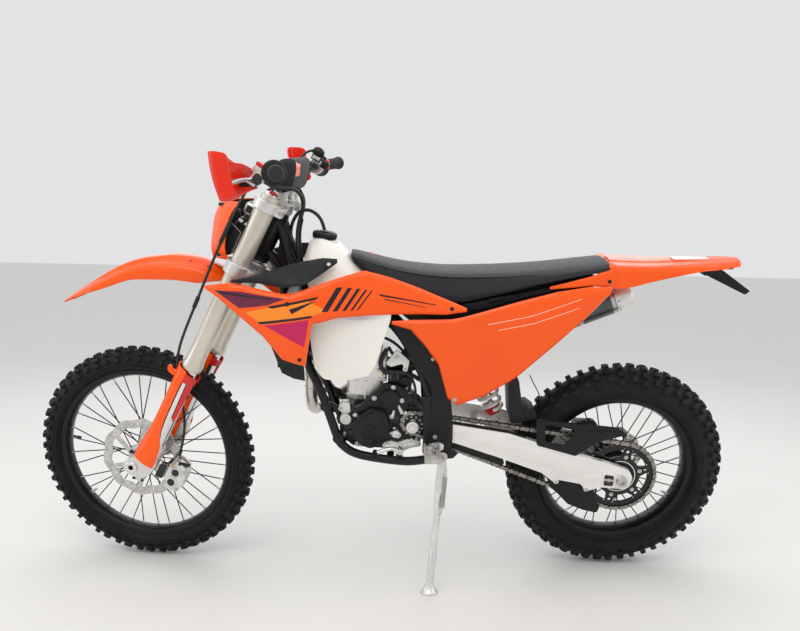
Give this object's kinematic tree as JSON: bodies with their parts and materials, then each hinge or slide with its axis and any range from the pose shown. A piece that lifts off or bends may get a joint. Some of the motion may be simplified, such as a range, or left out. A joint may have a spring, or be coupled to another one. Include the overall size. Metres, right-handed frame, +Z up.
{
  "type": "enduro dirt bike",
  "caption": "Off-road motorcycle on its side stand: leaning frame, single-cylinder engine, sprung fork, spoked knobbly wheels, plastic bodywork and long flat seat.",
  "frame": {"origin": "floor level, under the middle of the whole bike's bounding box as it leans parked on its side stand", "axes": "+X forward, +Y to the rider's left (the side it leans to), +Z up; the bike itself leans 9.69 degrees to the left"},
  "size_m": [2.1767, 0.8316, 1.3225],
  "materials": {
    "axle_steel": "turned steel",
    "bar_black": "black coated tube",
    "black_plastic": "textured moulded black",
    "caliper_grey": "grey anodised",
    "cast_silver": "sand-cast and shot-peened",
    "chain_steel": "dull chain steel",
    "cover_black": "black coated cover",
    "disc_steel": "ground steel",
    "engine_dark": "dark cast case",
    "exhaust_steel": "bare stainless",
    "forged_silver": "satin machined",
    "fork_inner": "polished tube and bare foot",
    "fork_outer": "pale champagne anodised",
    "frame_black": "satin black powder coat",
    "hub_black": "black anodised hub, black spokes",
    "lamp_black": "black housing",
    "lever_silver": "satin forged",
    "orange_plastic": "gloss moulded orange",
    "pad_fabric": "stitched foam cover",
    "radiator_core": "finned black core",
    "red_lens": "clear red lens",
    "rim_black": "black anodised",
    "rubber": "moulded rubber",
    "seat_cover": "ribbed vinyl seat cover",
    "shock_white": "white spring, red body",
    "shroud_plastic": "gloss moulded orange with printed stripes",
    "silencer_metal": "brushed sleeve",
    "sprocket_steel": "dark steel",
    "tank_plastic": "translucent natural white",
    "tyre_rubber": "matt block tread"
  },
  "bodies": {
    "chassis": {"main_frame": "frame_black", "subframe": "black_plastic", "crankcase": "engine_dark", "engine_covers": "cover_black", "cylinder": "cast_silver", "exhaust_header": "exhaust_steel", "silencer": "silencer_metal", "radiators": "radiator_core", "radiator_guards": "black_plastic", "shrouds": "shroud_plastic", "upper_spoilers": "black_plastic", "fuel_tank": "tank_plastic", "tank_cap": "black_plastic", "seat": "seat_cover", "side_panels": "orange_plastic", "rear_fender": "orange_plastic", "tail_light": "red_lens", "plate_holder": "black_plastic", "frame_guards": "black_plastic", "swingarm": "cast_silver", "rear_axle": "axle_steel", "shock": "shock_white", "chain": "chain_steel", "front_sprocket": "sprocket_steel", "chain_guide": "black_plastic", "chain_guard": "black_plastic", "footpegs": "cast_silver", "foot_controls": "lever_silver", "rear_caliper": "caliper_grey", "vent_hose": "rubber", "clutch_line": "rubber"},
    "steering": {"triple_clamps": "forged_silver", "fork_tubes": "fork_outer", "fork_lowers": "fork_inner", "fork_guards": "orange_plastic", "front_axle": "axle_steel", "front_fender": "orange_plastic", "headlight_mask": "orange_plastic", "headlight": "lamp_black", "handlebar": "bar_black", "grips": "rubber", "hand_levers": "lever_silver", "handguards": "orange_plastic", "bar_pad": "pad_fabric", "front_caliper": "caliper_grey", "brake_hose": "rubber"},
    "front_wheel": {"front_tyre": "tyre_rubber", "front_rim": "rim_black", "front_hub": "hub_black", "front_disc": "disc_steel"},
    "rear_wheel": {"rear_tyre": "tyre_rubber", "rear_rim": "rim_black", "rear_hub": "hub_black", "rear_disc": "disc_steel", "rear_sprocket": "sprocket_steel"},
    "side_stand": {"side_stand": "forged_silver"}
  },
  "joints": [
    {"name": "steering_head", "type": "hinge", "parent": "chassis", "child": "steering", "pos_m": [0.6897, -0.14597, 0.32239], "axis": [-0.4471, 0.1506, 0.8817], "range_deg": [-35.3, 50.7]},
    {"name": "front_wheel_spin", "type": "hinge", "parent": "steering", "child": "front_wheel", "pos_m": [0.74023, -0.14924, 0.34857], "axis": [0.1197, 0.9869, -0.1079], "continuous": true},
    {"name": "rear_wheel_spin", "type": "hinge", "parent": "chassis", "child": "rear_wheel", "pos_m": [-0.74631, -0.14303, 0.33811], "axis": [0.0002, 0.9857, -0.1683], "continuous": true},
    {"name": "side_stand_hinge", "type": "hinge", "parent": "chassis", "child": "side_stand", "pos_m": [-0.19286, 0.00959, 0.39478], "axis": [0.1838, 0.955, 0.2329], "range_deg": [0, 95]}
  ]
}
